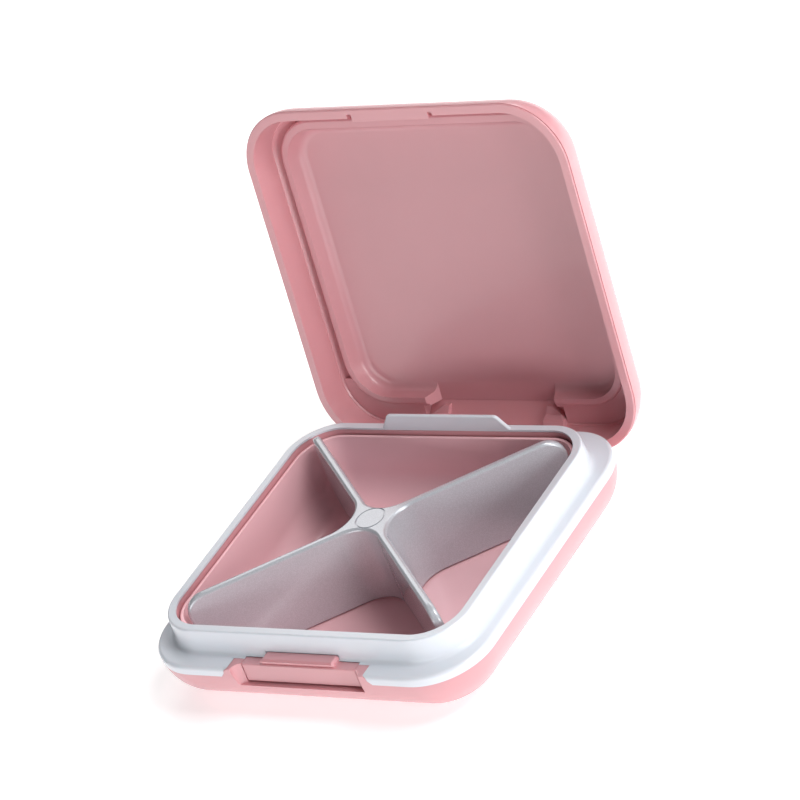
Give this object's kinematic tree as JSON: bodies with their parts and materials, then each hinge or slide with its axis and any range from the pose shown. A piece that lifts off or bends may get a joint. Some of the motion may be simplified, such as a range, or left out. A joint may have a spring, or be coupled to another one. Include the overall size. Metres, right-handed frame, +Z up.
{
  "type": "hinged compartment case",
  "caption": "Pocket-size hinged case with a lift-out cross divider, a white seal ring, a press latch and a lid shown open.",
  "frame": {"origin": "centre of the flat rest face under the base", "axes": "+Z up, -Y towards the latch, +Y towards the hinge, X along the hinge axis"},
  "size_m": [0.078, 0.0994, 0.0791],
  "materials": {
    "pink_plastic": "satin moulded pink plastic",
    "pink_liner": "satin moulded pink plastic",
    "pink_tray": "glossy moulded pink plastic",
    "white_seal": "soft white sealing plastic",
    "pearl_white_plastic": "glossy white plastic",
    "spring_steel": "drawn wire",
    "pin_steel": "ground pin"
  },
  "bodies": {
    "base": {"base_shell": "pink_plastic", "base_frame": "pink_plastic", "seal_ring": "white_seal", "inner_tray": "pink_tray", "cross_divider": "pearl_white_plastic", "latch_spring_left": "spring_steel", "latch_spring_right": "spring_steel", "hinge_pin_left": "pin_steel", "hinge_pin_right": "pin_steel"},
    "lid": {"lid_shell": "pink_plastic", "lid_liner": "pink_liner"},
    "latch": {"latch_button": "pink_plastic"}
  },
  "joints": [
    {"name": "lid_hinge", "type": "hinge", "parent": "base", "child": "lid", "pos_m": [0, 0.0354, 0.0082], "axis": [1, 0, 0], "range_deg": [0, 101]},
    {"name": "latch_press", "type": "slide", "parent": "base", "child": "latch", "axis": [0, 1, 0], "range_m": [0, 0.00045], "stiffness_N_per_m": 1000}
  ]
}
